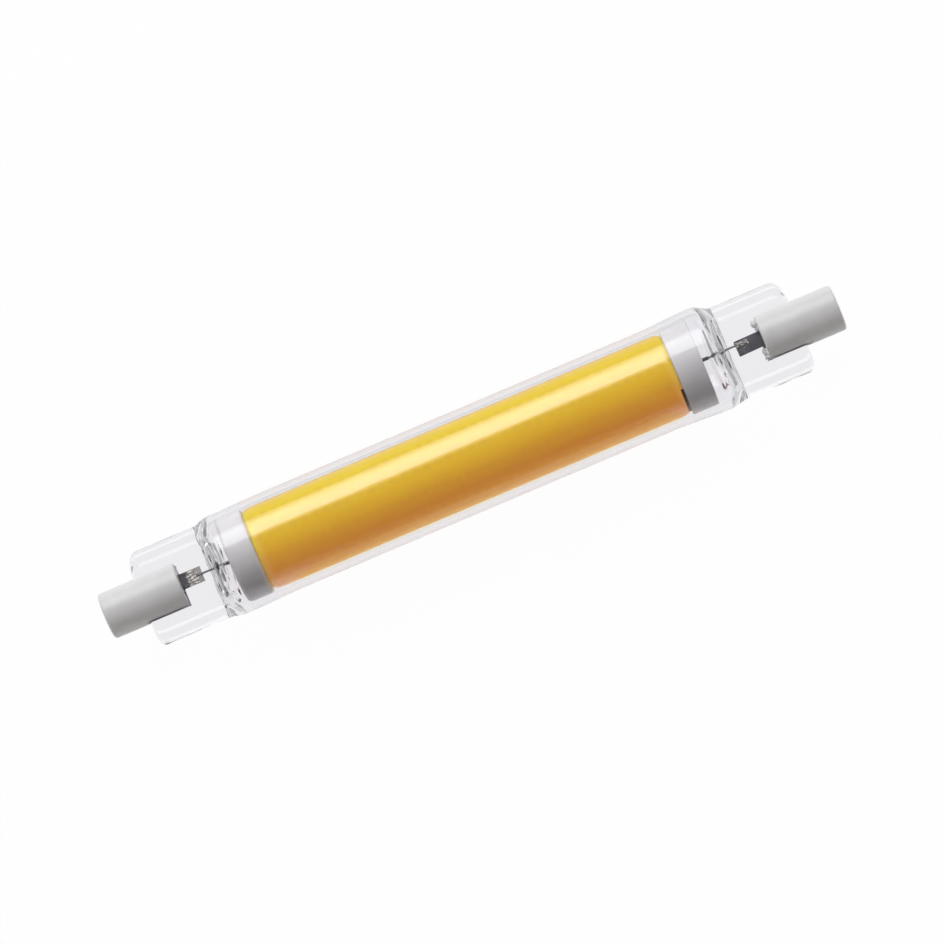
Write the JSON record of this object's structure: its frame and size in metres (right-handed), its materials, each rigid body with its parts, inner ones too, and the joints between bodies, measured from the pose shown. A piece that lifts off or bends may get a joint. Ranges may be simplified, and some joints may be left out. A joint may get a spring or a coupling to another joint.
{
  "type": "linear led bulb",
  "caption": "Double-ended linear LED lamp: clear glass tube pinched flat at each end, slotted ceramic bases with recessed contacts, and a phosphor-coated LED cylinder inside.",
  "frame": {"origin": "centre of the lamp's bounding box, on the glass tube's axis, midway between the two bases' rims", "axes": "+X along the lamp towards the right base, +Y across the flat presses in their plane, +Z square to the presses"},
  "size_m": [0.1176, 0.0164, 0.0164],
  "materials": {
    "clear_glass": "clear, polished",
    "base_ceramic": "fired steatite, matte, pale grey",
    "cement": "rough, dry",
    "contact_nickel": "satin nickel",
    "lead_wire": "drawn wire",
    "foil": "thin rolled strip, part shiny",
    "dark_sleeve": "dark, dull",
    "cap_plastic": "moulded, matte, pale grey",
    "phosphor": "smooth cast silicone, yellow",
    "carrier_ceramic": "fired alumina, white",
    "chip_row": "small dies on a bonding strip",
    "dark_terminal": "black",
    "feed_insulation": "soft sleeve",
    "board": "solder mask",
    "package_black": "moulded",
    "capacitor_can": "sleeved can",
    "resistor_body": "lacquered"
  },
  "bodies": {
    "root": {"glass_envelope": "clear_glass", "ceramic_base_left": "base_ceramic", "ceramic_base_right": "base_ceramic", "base_cement_left": "cement", "base_cement_right": "cement", "contact_button_left": "contact_nickel", "contact_button_right": "contact_nickel", "outer_lead_left": "lead_wire", "outer_lead_right": "lead_wire", "sealing_foil_left": "foil", "sealing_foil_right": "foil", "inner_lead_left": "lead_wire", "inner_lead_right": "lead_wire", "lead_sleeve_left": "dark_sleeve", "lead_sleeve_right": "dark_sleeve", "end_cap_left": "cap_plastic", "end_cap_right": "cap_plastic", "terminal_left": "dark_terminal", "terminal_right": "dark_terminal", "feed_wire_left": "feed_insulation", "feed_wire_right": "feed_insulation", "led_carrier": "carrier_ceramic", "led_strings": "chip_row", "phosphor_coating": "phosphor", "driver_board": "board", "bridge_rectifier": "package_black", "driver_chips": "package_black", "smoothing_capacitor": "capacitor_can", "fuse_resistor": "resistor_body"}
  },
  "joints": []
}
